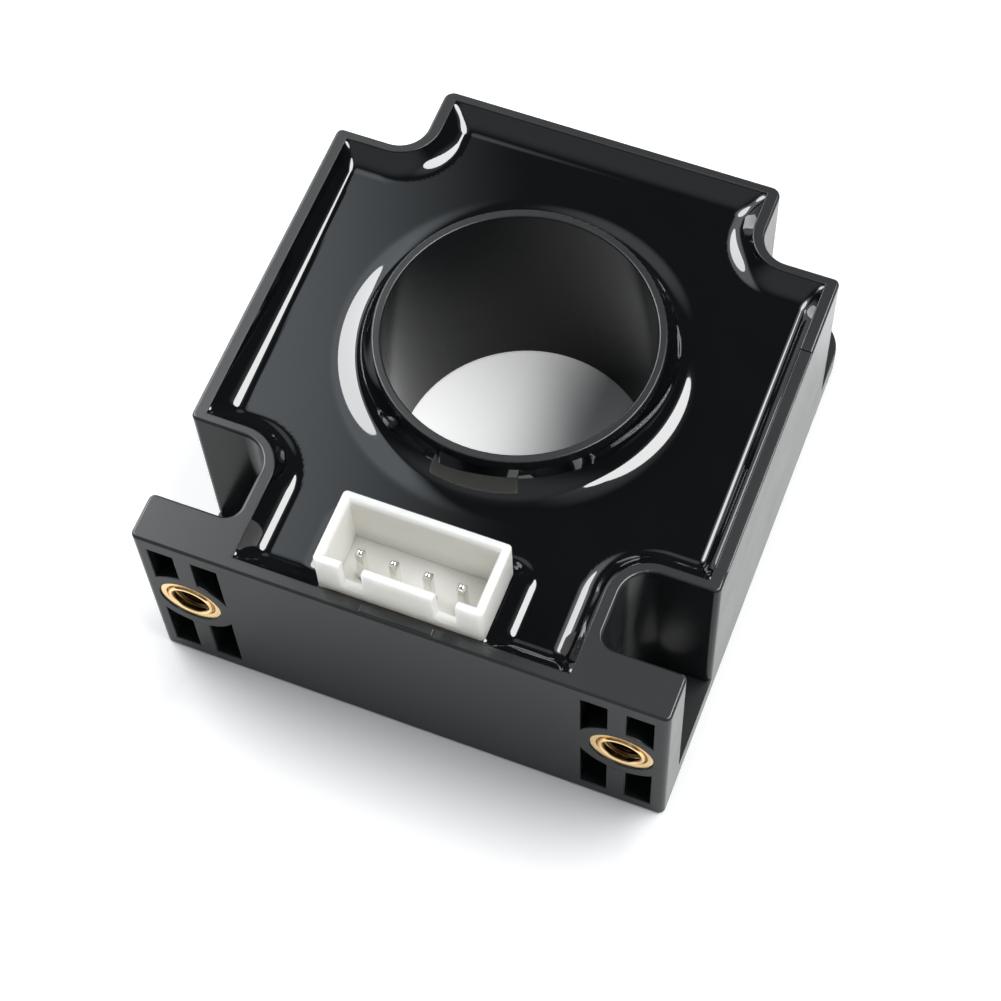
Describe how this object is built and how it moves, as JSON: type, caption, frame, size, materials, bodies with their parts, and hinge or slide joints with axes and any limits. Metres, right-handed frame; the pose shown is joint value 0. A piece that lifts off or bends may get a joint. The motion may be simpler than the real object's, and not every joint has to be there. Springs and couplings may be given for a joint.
{
  "type": "hall effect current sensor",
  "caption": "Potted block with a round window that a conductor passes through, a shrouded pin header, front threaded inserts and base fixing holes; it reads the conductor's current.",
  "frame": {"origin": "centre of the footprint on the mounting face", "axes": "+Z out of the mounting face along the conductor window, +Y from the front wall with the inserts to the rear, +X along the front"},
  "size_m": [0.04, 0.0434, 0.0214],
  "materials": {
    "case_plastic": "black moulded, semi-gloss",
    "potting_resin": "black cast, glossy",
    "header_nylon": "white moulded, satin",
    "insert_brass": "turned",
    "pin_tin": "tinned, bright",
    "solder_tin": "smooth",
    "core_ferrite": "sintered, dull",
    "carrier_plastic": "moulded, satin",
    "board_laminate": "green, satin",
    "chip_epoxy": "moulded, satin",
    "chip_ceramic": "fired, dull"
  },
  "bodies": {
    "root": {"case": "case_plastic", "potting_compound": "potting_resin", "header_housing": "header_nylon", "insert_left": "insert_brass", "insert_right": "insert_brass", "magnetic_core": "core_ferrite", "core_carrier": "carrier_plastic", "circuit_board": "board_laminate", "hall_sensor": "chip_epoxy", "amplifier_chip": "chip_epoxy", "regulator_chip": "chip_epoxy", "diode": "chip_epoxy", "header_solder": "solder_tin", "hall_solder": "solder_tin", "amplifier_leads": "pin_tin", "regulator_leads": "pin_tin", "header_pin_1": "pin_tin", "header_pin_2": "pin_tin", "header_pin_3": "pin_tin", "header_pin_4": "pin_tin", "hall_lead_1": "pin_tin", "hall_lead_2": "pin_tin", "hall_lead_3": "pin_tin", "resistor_1": "chip_ceramic", "resistor_2": "chip_ceramic", "resistor_3": "chip_ceramic", "resistor_4": "chip_ceramic", "resistor_5": "chip_ceramic", "resistor_6": "chip_ceramic", "capacitor_1": "chip_ceramic", "capacitor_2": "chip_ceramic", "capacitor_3": "chip_ceramic", "capacitor_4": "chip_ceramic"}
  },
  "joints": []
}
